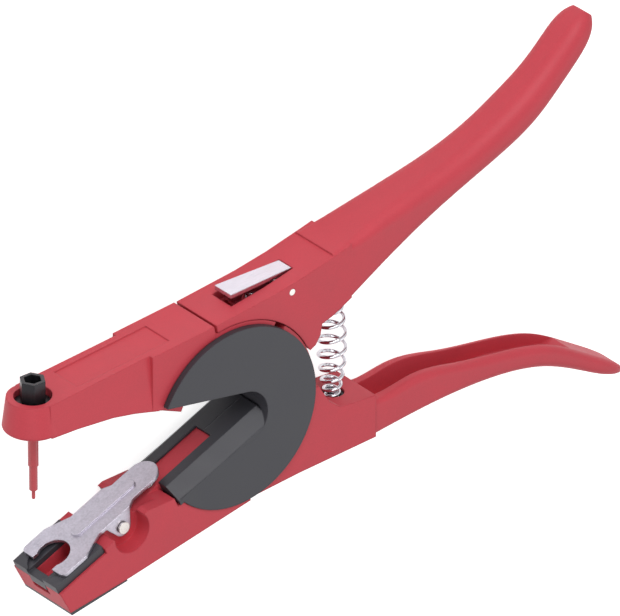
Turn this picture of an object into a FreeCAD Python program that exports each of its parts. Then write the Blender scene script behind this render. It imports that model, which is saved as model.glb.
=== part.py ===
import FreeCAD, Part
import math
import os
import Sketcher

# Ear tag applicator: a hand plier that drives the pin of a two-piece livestock tag through an ear.
#
# Frame: the tool lies flat on its far side.  +Z is the thickness of the tool, +X runs from the
# jaws to the handles, +Y from the lower jaw to the pin arm.  The origin is the pivot axis on the
# resting face of the far guard.  Lengths are in millimetres, angles in degrees.
#
# The two castings cross at a hub that is open in front, so that the ear can enter it.
#   jaw_lever: lower jaw, far half of the hub ring and upper handle, one casting
#   pin_lever: pin arm, near half of the hub ring and lower handle, one casting
# The jaw frame is the row frame turned by the closing angle about the pivot.  In it the lower jaw
# runs straight along -x, and the pin is square to the jaw once the tool is closed.

DIMENSIONS = {
    # hub and guard
    "guard_width": (26.0, "thickness over the two guard plates"),
    "guard_radius": (33.2, "rim of the round guard plates"),
    "guard_plate": (2.3, "thickness of one guard plate"),
    "journal_radius": (24.0, "guard hub that the castings turn on"),
    "journal_gap": (0.3, "running clearance on the guard hub"),
    "ring_radius": (34.5, "rim of the half-thickness hub rings"),
    "ring_gap": (0.3, "clearance round the hub rings"),
    "face_gap": (0.2, "side clearance between faces that slide"),
    "closing_angle": (24.0, "travel of the pin lever from open to closed"),
    "arm_root_angle": (102.8, "rear face of the pin arm at the hub"),
    "handle_root_angle": (101.2, "front face of the upper handle at the hub"),
    "arm_front_angle": (157.0, "front end of the pin arm's ring"),
    "tail_root_angle": (79.0, "front face of the lower handle, below the hub"),
    "stop_angle": (1.6, "opening between two stop faces at rest"),
    # throat
    "throat_radius": (10.2, "rounded end of the throat"),
    "throat_centre_x": (2.4, "centre of the rounded end"),
    "throat_centre_y": (-1.4, "centre of the rounded end"),
    "throat_top_x": (-29.8, "front corner of the throat's upper edge"),
    "throat_top_y": (14.1, "front corner of the throat's upper edge"),
    "floor_drop": (6.0, "guard floor below the pivot, in the jaw frame"),
    "floor_half": (8.0, "half width of the flat guard floor"),
    "floor_edge_drop": (10.6, "lower edge of the sloped floor sides"),
    "floor_base_drop": (12.4, "underside of the guard floor"),
    "strip_width": (8.2, "casting strip that shows through the guard floor"),
    "strip_drop": (6.8, "top of the casting strip"),
    "strip_rear": (8.0, "rear end of the strip ahead of the pivot"),
    "fit_gap": (0.15, "clearance between pieces fixed to each other"),
    # levers
    "lever_width": (21.4, "thickness of the castings beside the hub"),
    # lower jaw, in the jaw frame
    "jaw_width": (25.0, "width of the lower jaw"),
    "jaw_length": (85.5, "front of the lower jaw ahead of the pivot"),
    "jaw_top_drop": (6.5, "seat of the tag nest below the pivot"),
    "jaw_wall_drop": (4.6, "top of the jaw walls behind the nest"),
    "jaw_front_depth": (16.0, "bottom of the jaw at its front"),
    "jaw_mid_depth": (22.3, "bottom of the jaw at its middle"),
    "jaw_mid_length": (60.0, "where the bottom of the jaw bends"),
    "jaw_heel_depth": (33.2, "bottom of the jaw beside the hub"),
    "channel_width": (8.6, "channel between the two sides of the nest"),
    "channel_drop": (11.5, "floor of the channel"),
    "channel_rear": (66.0, "rear end of the channel ahead of the pivot"),
    # tag nest and sole
    "nest_rear": (64.0, "rear end of the nest pads ahead of the pivot"),
    "nest_width": (23.0, "width over the nest pads"),
    "nest_height": (3.1, "height of the nest pads"),
    "nest_bridge": (3.0, "length of the bar that joins the pads in front"),
    "sole_thickness": (1.2, "plate under the front of the jaw"),
    "sole_rear": (61.5, "rear end of the sole ahead of the pivot"),
    "nest_screw_radius": (1.25, "shank of the nest screws"),
    "nest_screw_head": (2.35, "head of the nest screws"),
    "nest_screw_head_height": (1.4, "height of the nest screws' heads"),
    "nest_screw_seat": (16.4, "seat of the nest screws' heads below the pivot"),
    "nest_screw_x": (70.5, "nest screws ahead of the pivot"),
    "nest_screw_z": (8.2, "nest screws beside the mid plane"),
    # clip
    "clip_sheet": (1.3, "thickness of the clip's sheet"),
    "clip_front": (81.2, "tips of the clip fingers ahead of the pivot"),
    "clip_rear": (29.0, "rounded rear end of the clip"),
    "clip_front_half": (11.3, "half width over the fingers"),
    "clip_body_half": (7.4, "half width over the ears"),
    "clip_tail_half": (5.6, "half width at the rear"),
    "clip_shoulder": (70.5, "where the fingers reach their full width"),
    "clip_waist": (61.5, "where the clip narrows to its body"),
    "clip_ear_rear": (47.0, "rear edge of the ears"),
    "clip_ear_front": (58.5, "front edge of the ears"),
    "clip_ear_sheet": (1.2, "thickness of the ears"),
    "clip_ear_round": (3.4, "rounding of an ear about its pin"),
    "clip_pin_x": (52.5, "clip pin ahead of the pivot"),
    "clip_pin_drop": (7.3, "clip pin below the pivot"),
    "clip_pin_radius": (1.5, "shank of the clip pin"),
    "clip_pin_head": (2.2, "radius of the clip pin's heads"),
    "clip_pin_head_height": (0.8, "height of the clip pin's heads"),
    "clip_relief_radius": (7.3, "round recess beside each ear"),
    "lug_half": (6.0, "half width of the jaw's lug between the ears"),
    "pin_hole_gap": (0.05, "running clearance on hinge pins"),
    "notch_radius": (6.0, "round notch between the fingers"),
    "notch_mouth_half": (5.2, "half width of the notch's mouth"),
    "rib_height": (0.7, "embossed rib on the clip"),
    "rib_half": (2.0, "half width of the rib"),
    "rib_front": (67.0, "front end of the rib"),
    "rib_rear": (38.5, "rear end of the rib"),
    "clip_spring_x": (34.5, "clip spring ahead of the pivot"),
    "clip_spring_radius": (2.4, "outside radius of the clip spring"),
    "clip_spring_wire": (0.6, "wire of the clip spring"),
    "clip_spring_seat": (1.5, "depth of the clip spring's seat in the strip"),
    # pin arm
    "pin_reach": (76.8, "pin axis ahead of the pivot"),
    "arm_tip_top": (30.6, "top of the arm at the pin"),
    "arm_tip_bottom": (18.7, "bottom of the arm at the pin"),
    "root_rise": (2.5, "top of both castings above the hub ring where they meet"),
    "arm_throat_x": (31.5, "bottom rear corner of the arm ahead of the pivot"),
    "arm_throat_y": (13.2, "bottom rear corner of the arm"),
    "arm_bend_x": (51.0, "bend in the arm's bottom"),
    "arm_bend_y": (17.4, "bend in the arm's bottom"),
    "arm_draft": (4.5, "draft of the arm's sides"),
    "boss_top_radius": (9.0, "round end of the arm, at its top"),
    "boss_bottom_radius": (10.4, "round end of the arm, at its bottom"),
    "counterbore_radius": (6.5, "recess for the nut"),
    "counterbore_depth": (3.0, "depth of the nut's recess"),
    "label_depth": (0.4, "depth of the bare label panel"),
    "label_front": (63.0, "front end of the label panel"),
    "label_rear": (24.0, "rear end of the label panel"),
    "label_half": (6.3, "half width of the label panel"),
    # applicator pin
    "pin_stage_one": (14.5, "thick stage below the arm"),
    "pin_stage_two": (23.8, "end of the middle stage below the arm"),
    "pin_length": (27.6, "tip of the pin below the arm"),
    "pin_radius": (1.8, "thick stage of the pin"),
    "pin_neck_radius": (1.45, "middle stage of the pin"),
    "pin_tip_radius": (0.65, "rounded tip"),
    "pin_collar_radius": (2.7, "collar of the pin in the arm"),
    "pin_collar_height": (1.0, "collar that stands out under the arm"),
    "pin_head_radius": (3.3, "head held in the arm"),
    "pin_head_height": (2.0, "height of the pin's head"),
    "nut_flats": (8.0, "width across the flats of the nut"),
    "nut_height": (6.4, "nut above the arm"),
    "nut_shank_radius": (3.5, "threaded shank of the nut"),
    "nut_shank_length": (4.0, "length of the nut's shank"),
    "socket_flats": (5.5, "width across the flats of the nut's socket"),
    "socket_depth": (5.0, "depth of the nut's socket"),
    "washer_radius": (6.2, "washer under the nut"),
    "washer_height": (0.9, "thickness of the washer"),
    # handle spring
    "spring_x": (50.5, "spring axis behind the pivot"),
    "spring_bottom": (-18.0, "lower end of the spring"),
    "spring_top": (29.5, "upper end of the spring"),
    "spring_end_radius": (2.4, "outside radius at the ends"),
    "spring_mid_radius": (5.4, "outside radius at the middle"),
    "spring_wire": (1.3, "wire of the handle spring"),
    "cup_radius": (4.2, "spring cup in the lower handle"),
    "cup_wall": (1.0, "wall and floor of the spring cup"),
    "cup_depth": (3.4, "depth of the spring cup"),
    # catch
    "catch_pin_x": (25.0, "catch pin behind the pivot"),
    "catch_pin_rise": (3.9, "catch pin above the hub ring"),
    "catch_pin_radius": (1.2, "catch pin"),
    "catch_front_x": (3.9, "front end of the catch plate"),
    "catch_front_rise": (7.6, "top of the catch plate in front, above the hub ring"),
    "catch_rear_x": (30.4, "rear end of the catch plate"),
    "catch_rear_rise": (8.2, "top of the catch plate at its rear, above the hub ring"),
    "catch_sheet": (1.6, "thickness of the catch plate"),
    "catch_front_half": (4.3, "half width of the plate in front"),
    "catch_rear_half": (3.2, "half width of the plate at its rear"),
    "catch_web_half": (2.4, "half width of the web under the plate"),
    "catch_leg_rise": (1.9, "foot of the leg above the hub ring"),
    "slot_front_half": (5.2, "half width of the catch slot in front"),
    "slot_rear_half": (3.8, "half width of the catch slot at its rear"),
    "slot_rise": (1.1, "floor of the catch slot above the hub ring"),
    "catch_spring_x": (15.5, "catch spring behind the pivot"),
    "catch_spring_radius": (1.9, "outside radius of the catch spring"),
    "catch_spring_wire": (0.7, "wire of the catch spring"),
    "catch_spring_length": (2.2, "length of the catch spring at rest"),
    # screws through the guard
    "guard_screw_circle": (18.0, "pitch radius of the guard screws"),
    "guard_screw_angle": (62.0, "angle between the guard screws"),
    "guard_screw_radius": (1.5, "shank of the guard screws"),
    "guard_screw_head": (2.8, "countersunk head of the guard screws"),
    "guard_screw_length": (19.0, "length of the guard screws"),
    # handles
    "grip_wall": (3.0, "side walls of the handle channels"),
}

doc = FreeCAD.newDocument("EarTagApplicator")
sheet = doc.addObject("Spreadsheet::Sheet", "Dims")


class Size:
    """A length or angle that carries its number and its spreadsheet formula together."""

    def __init__(self, value, formula):
        self.value = float(value)
        self.formula = formula

    def __add__(self, other):
        other = size(other)
        return Size(self.value + other.value, f"({self.formula} + {other.formula})")

    def __sub__(self, other):
        other = size(other)
        return Size(self.value - other.value, f"({self.formula} - {other.formula})")

    def __mul__(self, other):
        other = size(other)
        return Size(self.value * other.value, f"({self.formula} * {other.formula})")

    def __truediv__(self, other):
        other = size(other)
        return Size(self.value / other.value, f"({self.formula} / {other.formula})")

    def __neg__(self):
        return Size(-self.value, f"(-1 * {self.formula})")

    def __radd__(self, other):
        return size(other) + self

    def __rsub__(self, other):
        return size(other) - self

    def __rmul__(self, other):
        return size(other) * self


def size(value):
    """Turn a plain number into a Size; a Size stays as it is."""
    if isinstance(value, Size):
        return value
    return Size(value, f"({value})")


def cosine(angle):
    """Cosine of an angle in degrees."""
    angle = size(angle)
    return Size(math.cos(math.radians(angle.value)), f"cos({angle.formula})")


def sine(angle):
    """Sine of an angle in degrees."""
    angle = size(angle)
    return Size(math.sin(math.radians(angle.value)), f"sin({angle.formula})")


def tangent(angle):
    """Tangent of an angle in degrees."""
    angle = size(angle)
    return Size(math.tan(math.radians(angle.value)), f"tan({angle.formula})")


def root(value):
    """Square root."""
    value = size(value)
    return Size(math.sqrt(value.value), f"sqrt({value.formula})")


def polar(radius, angle):
    """Point at a radius and an angle in degrees."""
    return (size(radius) * cosine(angle), size(radius) * sine(angle))


class Dimensions:
    """The spreadsheet's named cells as Size attributes."""


dim = Dimensions()
for row, (alias, (number, meaning)) in enumerate(DIMENSIONS.items(), start=1):
    sheet.set(f"A{row}", alias)
    sheet.set(f"B{row}", str(number))
    sheet.set(f"C{row}", meaning)
    sheet.setAlias(f"B{row}", alias)
    setattr(dim, alias, Size(number, f"Dims.{alias}"))
doc.recompute()

MID = dim.guard_width / 2
ROOT_TOP = dim.ring_radius + dim.root_rise
CATCH_PIN_Y = dim.ring_radius + dim.catch_pin_rise
CATCH_FRONT_Y = dim.ring_radius + dim.catch_front_rise
CATCH_REAR_Y = dim.ring_radius + dim.catch_rear_rise
SLOT_FLOOR = dim.ring_radius + dim.slot_rise


def bind(target, path, value):
    """Set a property to a plain number or tie it to the spreadsheet."""
    value = size(value)
    target.setExpression(path, value.formula)


def new_body(label, in_jaw_frame=False):
    """Start a sub-part; one that belongs to the lower jaw is turned into the jaw frame."""
    body = doc.addObject("PartDesign::Body", label)
    body.Label = label
    if in_jaw_frame:
        turn = FreeCAD.Rotation(FreeCAD.Vector(0, 0, 1), dim.closing_angle.value)
        body.Placement = FreeCAD.Placement(FreeCAD.Vector(0, 0, 0), turn)
        bind(body, "Placement.Rotation.Angle", dim.closing_angle)
    return body


def sketch_on(body, name, role="XY_Plane", base=(0, 0, 0), turn=None, axis=(0, 0, 1)):
    """Sketch on an origin plane of the body, shifted by base and turned about axis."""
    sketch = body.newObject("Sketcher::SketchObject", f"{body.Name}_{name}")
    plane = next(item for item in body.Origin.OriginFeatures if item.Role == role)
    sketch.AttachmentSupport = [(plane, "")]
    sketch.MapMode = "FlatFace"
    if turn is not None:
        angle = size(turn)
        rotation = FreeCAD.Rotation(FreeCAD.Vector(*axis), angle.value)
        sketch.AttachmentOffset = FreeCAD.Placement(FreeCAD.Vector(0, 0, 0), rotation)
        bind(sketch, "AttachmentOffset.Rotation.Angle", angle)
    for letter, distance in zip("xyz", base):
        bind(sketch, f"AttachmentOffset.Base.{letter}", distance)
    return sketch


def pin_point(sketch, geometry, end, point):
    """Fix one end of a sketch edge at a point that the spreadsheet drives."""
    for kind, distance in zip(("DistanceX", "DistanceY"), point):
        distance = size(distance)
        index = sketch.addConstraint(
            Sketcher.Constraint(kind, -1, 1, geometry, end, distance.value)
        )
        bind(sketch, f"Constraints[{index}]", distance)


def draw_circle(sketch, centre, radius):
    """Circle with its centre and radius driven by the spreadsheet."""
    radius = size(radius)
    middle = FreeCAD.Vector(size(centre[0]).value, size(centre[1]).value, 0)
    circle = Part.Circle(middle, FreeCAD.Vector(0, 0, 1), radius.value)
    geometry = sketch.addGeometry(circle, False)
    pin_point(sketch, geometry, 3, centre)
    index = sketch.addConstraint(Sketcher.Constraint("Radius", geometry, radius.value))
    bind(sketch, f"Constraints[{index}]", radius)


def arc_between(start, finish, radius):
    """Short arc from start to finish; a positive radius turns anticlockwise."""
    chord = finish - start
    normal = FreeCAD.Vector(-chord.y, chord.x, 0).normalize()
    rise = math.sqrt(max(radius * radius - chord.Length * chord.Length / 4, 0))
    side = 1 if radius > 0 else -1
    centre = start + chord * 0.5 + normal * (rise * side)
    circle = Part.Circle(centre, FreeCAD.Vector(0, 0, 1), abs(radius))
    ends = (start, finish) if radius > 0 else (finish, start)
    angles = [math.atan2(end.y - centre.y, end.x - centre.x) for end in ends]
    if angles[1] < angles[0]:
        angles[1] += 2 * math.pi
    return Part.ArcOfCircle(circle, angles[0], angles[1])


def draw_outline(sketch, corners):
    """Closed outline through corners (x, y), or (x, y, radius) to leave the corner on an arc."""
    points = [FreeCAD.Vector(size(c[0]).value, size(c[1]).value, 0) for c in corners]
    ends = []
    for number, corner in enumerate(corners):
        start = points[number]
        finish = points[(number + 1) % len(points)]
        if len(corner) == 3:
            radius = size(corner[2])
            edge = sketch.addGeometry(arc_between(start, finish, radius.value), False)
            limit = Size(abs(radius.value), radius.formula if radius.value > 0 else (-radius).formula)
            index = sketch.addConstraint(Sketcher.Constraint("Radius", edge, limit.value))
            bind(sketch, f"Constraints[{index}]", limit)
            ends.append((edge, 1, 2) if radius.value > 0 else (edge, 2, 1))
        else:
            edge = sketch.addGeometry(Part.LineSegment(start, finish), False)
            ends.append((edge, 1, 2))
    for number, (edge, first, last) in enumerate(ends):
        following = ends[(number + 1) % len(ends)]
        sketch.addConstraint(
            Sketcher.Constraint("Coincident", edge, last, following[0], following[1])
        )
        pin_point(sketch, edge, first, corners[number][:2])


def pad(body, sketch, length, symmetric=False, reverse=False):
    """Pad a sketch; symmetric spreads the length to both sides."""
    feature = body.newObject("PartDesign::Pad", f"{sketch.Name}_Pad")
    feature.Profile = sketch
    feature.SideType = "Symmetric" if symmetric else "One side"
    feature.Reversed = reverse
    bind(feature, "Length", length)
    return feature


def pocket(body, sketch, length, symmetric=False, reverse=False):
    """Cut a sketch out of the body and make sure that it removed material."""
    doc.recompute()
    before = body.Shape.Volume
    feature = body.newObject("PartDesign::Pocket", f"{sketch.Name}_Pocket")
    feature.Profile = sketch
    feature.SideType = "Symmetric" if symmetric else "One side"
    feature.Reversed = reverse
    bind(feature, "Length", length)
    doc.recompute()
    if body.Shape.Volume > before - 1e-3:
        raise RuntimeError(f"{feature.Name} cuts nothing")
    return feature


def turned(body, sketch, axis="V_Axis"):
    """Full revolution of a half profile about a sketch axis."""
    feature = body.newObject("PartDesign::Revolution", f"{sketch.Name}_Turn")
    feature.Profile = sketch
    feature.ReferenceAxis = (sketch, [axis])
    feature.Angle = 360
    return feature


def turned_cut(body, sketch, axis="V_Axis"):
    """Full groove of a half profile about a sketch axis."""
    doc.recompute()
    before = body.Shape.Volume
    feature = body.newObject("PartDesign::Groove", f"{sketch.Name}_Groove")
    feature.Profile = sketch
    feature.ReferenceAxis = (sketch, [axis])
    feature.Angle = 360
    doc.recompute()
    if body.Shape.Volume > before - 1e-3:
        raise RuntimeError(f"{feature.Name} cuts nothing")
    return feature


def box_outline(low, high):
    """Corners of a rectangle from its lowest and highest corner."""
    return [(low[0], low[1]), (high[0], low[1]), (high[0], high[1]), (low[0], high[1])]


def rounded_section(height, width, radius):
    """Corners of a rounded rectangle about the sketch origin."""
    tall = size(height) / 2
    wide = size(width) / 2
    flat = tall - radius
    side = wide - radius
    return [
        (flat, -wide, radius), (tall, -side), (tall, side, radius), (flat, wide),
        (-flat, wide, radius), (-tall, side), (-tall, -side, radius), (-flat, -wide),
    ]


def grip(body, name, stations):
    """Loft a handle through rounded sections; each is x, y, slope, height, width, rounding."""
    sections = []
    for number, (x, y, slope, height, width, rounding) in enumerate(stations):
        sketch = sketch_on(
            body, f"{name}{number}", "YZ_Plane", base=(y, MID, x), turn=slope, axis=(0, 1, 0)
        )
        draw_outline(sketch, rounded_section(height, width, size(rounding)))
        sections.append(sketch)
    loft = body.newObject("PartDesign::AdditiveLoft", f"{body.Name}_{name}Loft")
    loft.Profile = sections[0]
    loft.Sections = sections[1:]
    return loft


def to_row(x, y):
    """Row-frame point of a jaw-frame point."""
    turn = dim.closing_angle
    return (size(x) * cosine(turn) - size(y) * sine(turn), size(x) * sine(turn) + size(y) * cosine(turn))


LEVER_LOW = (dim.guard_width - dim.lever_width) / 2
NEAR_FACE = dim.guard_width - dim.guard_plate
CLEAR_RING = dim.ring_radius + dim.ring_gap
CLEAR_JOURNAL = dim.journal_radius + dim.journal_gap
BEYOND = dim.guard_radius * 2


def hub_cut(body, name, radius, low, height):
    """Cut a disc about the pivot out of the body, upwards from a height."""
    sketch = sketch_on(body, name, base=(0, 0, low))
    draw_circle(sketch, (0, 0), radius)
    pocket(body, sketch, height, reverse=True)


def hub_ring(body, name, low, height, start, finish):
    """Half-thickness ring about the pivot, open between two angles (start to finish)."""
    sketch = sketch_on(body, name, base=(0, 0, low))
    draw_circle(sketch, (0, 0), dim.ring_radius)
    pad(body, sketch, height)
    gap = sketch_on(body, f"{name}Gap", base=(0, 0, low))
    middle = (size(start) + finish) / 2
    draw_outline(gap, [
        (0, 0), polar(BEYOND, start), polar(BEYOND, middle), polar(BEYOND, finish),
    ])
    return gap


def make_jaw_lever():
    """Casting with the lower jaw, the far half of the hub ring and the upper handle."""
    body = new_body("jaw_lever")

    # upper handle beside the hub
    front = polar(CLEAR_RING, dim.handle_root_angle)
    front_top = polar(ROOT_TOP / sine(dim.handle_root_angle), dim.handle_root_angle)
    block = sketch_on(body, "HandleRoot", base=(0, 0, MID))
    draw_outline(block, [
        front, (30, 17), (32.7, 13.4), (35, 14.6), (37, 17.6), (37.8, 21.7), (43, 23.4), (50.5, 27.3),
        (50.5, 47.5), (44.8, ROOT_TOP + 9.0), (31, ROOT_TOP + 5.6), (17.6, ROOT_TOP + 3.1), front_top,
    ])
    pad(body, block, dim.lever_width, symmetric=True)

    # slot for the catch, open to the hub rim where the leg goes down
    slot = sketch_on(body, "CatchSlot", "XZ_Plane", base=(0, MID, -SLOT_FLOOR))
    draw_outline(slot, [
        (dim.catch_front_x - 0.6, -dim.slot_front_half),
        (dim.catch_rear_x + 0.5, -dim.slot_rear_half),
        (dim.catch_rear_x + 0.5, dim.slot_rear_half),
        (dim.catch_front_x - 0.6, dim.slot_front_half),
    ])
    pocket(body, slot, BEYOND)
    well = sketch_on(body, "LegWell", "XZ_Plane", base=(0, MID, -SLOT_FLOOR))
    draw_outline(well, box_outline(
        (dim.catch_front_x - 0.6, -dim.catch_web_half - 1), (12, dim.catch_web_half + 1)
    ))
    pocket(body, well, 8, reverse=True)

    # near half of the hub is left to the other casting
    hub_cut(body, "HubClear", CLEAR_RING, MID - dim.face_gap / 2, dim.guard_width)

    # far half of the hub ring
    ring_height = MID - dim.face_gap / 2 - LEVER_LOW
    heel_angle = 360 - dim.tail_root_angle - dim.stop_angle
    gap = hub_ring(body, "FarRing", LEVER_LOW, ring_height, dim.handle_root_angle, heel_angle)
    pocket(body, gap, ring_height, reverse=True)

    # lower jaw, drawn in the jaw frame
    heel = heel_angle - dim.closing_angle
    heel_in = polar(dim.journal_radius - 1, heel)
    heel_out = polar(dim.jaw_heel_depth / sine(heel) * -1, heel)
    jaw = sketch_on(body, "Jaw", base=(0, 0, MID), turn=dim.closing_angle)
    draw_outline(jaw, [
        (-dim.jaw_length, -dim.jaw_top_drop), (-dim.jaw_length + 0.5, -dim.jaw_front_depth),
        (-dim.jaw_mid_length, -dim.jaw_mid_depth), heel_out, heel_in,
        (-17, -dim.floor_base_drop - dim.fit_gap),
        (-dim.guard_radius - dim.fit_gap, -dim.floor_base_drop - dim.fit_gap),
        (-dim.guard_radius - dim.fit_gap, -dim.jaw_wall_drop - 4),
        (-43.5, -dim.jaw_wall_drop), (-dim.nest_rear + dim.fit_gap, -dim.jaw_wall_drop),
        (-dim.nest_rear + dim.fit_gap, -dim.jaw_top_drop),
    ])
    pad(body, jaw, dim.jaw_width, symmetric=True)

    # casting strip along the middle of the jaw, seen through the guard floor
    strip = sketch_on(body, "Strip", base=(0, 0, MID), turn=dim.closing_angle)
    draw_outline(strip, [
        (-dim.channel_rear, -dim.strip_drop), (-dim.channel_rear, -20),
        (-dim.strip_rear, -20), (-dim.strip_rear, -dim.strip_drop),
    ])
    pad(body, strip, dim.strip_width - 2 * dim.fit_gap, symmetric=True)
    rear_channel = sketch_on(body, "RearChannel", base=(0, 0, MID), turn=dim.closing_angle)
    draw_outline(rear_channel, box_outline(
        (-46.2, -dim.strip_drop), (-dim.guard_radius + 2, 0)
    ))
    pocket(body, rear_channel, 2 * dim.floor_half, symmetric=True)

    # lug that carries the clip pin, with round reliefs for the ears on both sides
    for name, low in (("ReliefFar", 0), ("ReliefNear", MID + dim.lug_half)):
        relief = sketch_on(body, name, base=(0, 0, low), turn=dim.closing_angle)
        draw_circle(relief, (-dim.clip_pin_x, -dim.clip_pin_drop), dim.clip_relief_radius)
        pocket(body, relief, MID - dim.lug_half, reverse=True)
    pin_hole = sketch_on(body, "ClipPinHole", base=(0, 0, MID), turn=dim.closing_angle)
    draw_circle(pin_hole, (-dim.clip_pin_x, -dim.clip_pin_drop), dim.clip_pin_radius)
    pocket(body, pin_hole, dim.guard_width, symmetric=True)

    # channel between the nest pads
    channel = sketch_on(body, "Channel", base=(0, 0, MID), turn=dim.closing_angle)
    draw_outline(channel, box_outline(
        (-dim.jaw_length - 1, -dim.channel_drop), (-dim.channel_rear, 0)
    ))
    pocket(body, channel, dim.channel_width, symmetric=True)

    # seat of the guard: the journal and the plates' rims
    hub_cut(body, "JournalClear", dim.journal_radius + dim.fit_gap, LEVER_LOW - 2, dim.jaw_width)
    strip_in = sketch_on(body, "StripInner", base=(0, 0, MID), turn=dim.closing_angle)
    draw_outline(strip_in, box_outline(
        (-dim.journal_radius - 2, -dim.floor_base_drop - 0.6), (-dim.strip_rear, -dim.strip_drop)
    ))
    pad(body, strip_in, dim.strip_width - 2 * dim.fit_gap, symmetric=True)
    rim = dim.guard_radius + dim.fit_gap
    hub_cut(body, "PlateSeatFar", rim, 0, dim.guard_plate + dim.fit_gap / 3)
    hub_cut(body, "PlateSeatNear", rim, NEAR_FACE - dim.fit_gap / 3, dim.guard_plate + 1)

    # upper handle grip, hollow underneath from the spring to its bend
    grip(body, "Grip", [
        (46.0, 36.1, 17, 21.0, dim.lever_width, 1.6),
        (62.0, 41.9, 20, 17.4, 20.6, 3.4),
        (84.0, 49.6, 19, 14.3, 18.6, 5.0),
        (107.0, 57.5, 22, 12.4, 17.4, 5.6),
        (122.0, 64.0, 29, 13.0, 17.0, 5.8),
        (134.0, 71.2, 37, 12.6, 16.4, 5.6),
        (148.0, 83.2, 44, 11.4, 15.2, 5.0),
        (155.0, 90.6, 49, 9.6, 13.6, 4.2),
        (158.6, 95.0, 52, 4.6, 7.6, 2.0),
    ])
    trough = sketch_on(body, "Underside", base=(0, 0, MID))
    draw_outline(trough, [
        (44, 10), (62, 20), (90, 36), (118, 48), (134, 58), (131, 64.5),
        (120, 58.5), (106, 53.0), (84, 45.5), (62, 39.5), (44, dim.spring_top + 0.3),
    ])
    pocket(body, trough, 2 * dim.cup_radius + 2.6, symmetric=True)

    # catch pin bore
    bore = sketch_on(body, "CatchBore", base=(0, 0, MID))
    draw_circle(bore, (dim.catch_pin_x, CATCH_PIN_Y), dim.catch_pin_radius)
    pocket(body, bore, dim.guard_width, symmetric=True)

    # holes for the nest screws through the front of the jaw, counterbored from below
    for name, side in (("NestHoleFar", -1), ("NestHoleNear", 1)):
        hole = sketch_on(
            body, name, turn=dim.closing_angle,
            base=(*to_row(-dim.nest_screw_x, 0), MID + dim.nest_screw_z * side),
        )
        wide = dim.nest_screw_head + dim.fit_gap
        draw_outline(hole, [
            (0, -30), (wide, -30), (wide, -dim.nest_screw_seat),
            (dim.nest_screw_radius + 0.1, -dim.nest_screw_seat), (dim.nest_screw_radius + 0.1, 0), (0, 0),
        ])
        turned_cut(body, hole)

    # seat of the clip spring in the strip
    spring_seat = sketch_on(
        body, "ClipSpringSeat", turn=dim.closing_angle,
        base=(*to_row(-dim.clip_spring_x, 0), MID),
    )
    floor = -dim.strip_drop - dim.clip_spring_seat
    draw_outline(spring_seat, box_outline((0, floor), (dim.clip_spring_radius + dim.fit_gap, 0)))
    turned_cut(body, spring_seat)
    return body


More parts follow.
